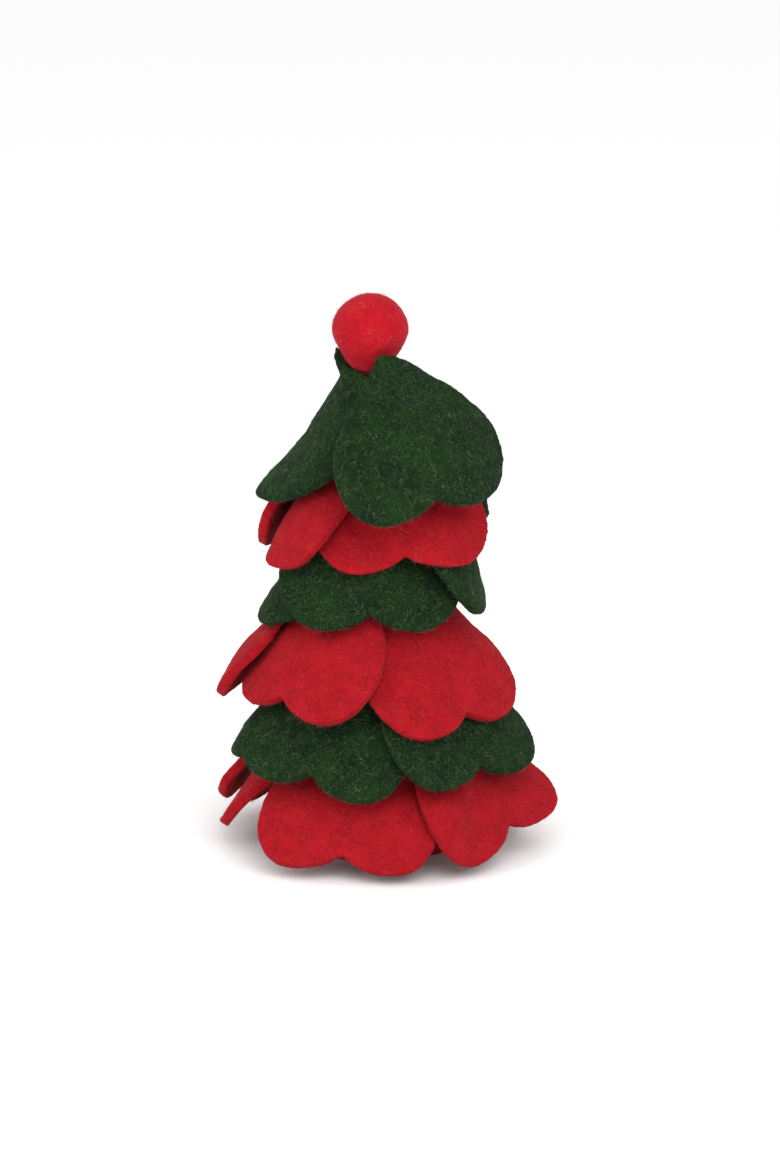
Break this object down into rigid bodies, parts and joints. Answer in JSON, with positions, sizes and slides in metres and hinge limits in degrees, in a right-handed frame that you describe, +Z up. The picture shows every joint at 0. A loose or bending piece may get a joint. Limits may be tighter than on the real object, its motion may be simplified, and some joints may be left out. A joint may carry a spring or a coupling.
{
  "type": "felt christmas tree",
  "caption": "Small table tree made of overlapping heart-shaped felt petals in red and green tiers on a slim cone, with a round felted ball on top.",
  "frame": {"origin": "middle of the underside of the base disc", "axes": "+Z up along the cone, -Y towards the viewer of the picture, +X to that viewer's right"},
  "size_m": [0.0938, 0.0906, 0.1504],
  "materials": {
    "red_felt": "thick matte wool felt with curly surface fibres",
    "green_felt": "thick matte heathered wool felt with lighter curly surface fibres",
    "ball_felt": "dense wet-felted wool, matte",
    "base_felt": "thick matte wool felt",
    "core_foam": "matte green foam"
  },
  "bodies": {
    "root": {"base_disc": "base_felt", "core_cone": "core_foam", "tier_1_heart_1": "green_felt", "tier_1_heart_2": "green_felt", "tier_1_heart_3": "green_felt", "tier_2_heart_1": "red_felt", "tier_2_heart_2": "red_felt", "tier_2_heart_3": "red_felt", "tier_2_heart_4": "red_felt", "tier_3_heart_1": "green_felt", "tier_3_heart_2": "green_felt", "tier_3_heart_3": "green_felt", "tier_3_heart_4": "green_felt", "tier_4_heart_1": "red_felt", "tier_4_heart_2": "red_felt", "tier_4_heart_3": "red_felt", "tier_4_heart_4": "red_felt", "tier_4_heart_5": "red_felt", "tier_5_heart_1": "green_felt", "tier_5_heart_2": "green_felt", "tier_5_heart_3": "green_felt", "tier_5_heart_4": "green_felt", "tier_5_heart_5": "green_felt", "tier_6_heart_1": "red_felt", "tier_6_heart_2": "red_felt", "tier_6_heart_3": "red_felt", "tier_6_heart_4": "red_felt", "tier_6_heart_5": "red_felt", "tier_6_heart_6": "red_felt", "top_ball": "ball_felt"}
  },
  "joints": []
}
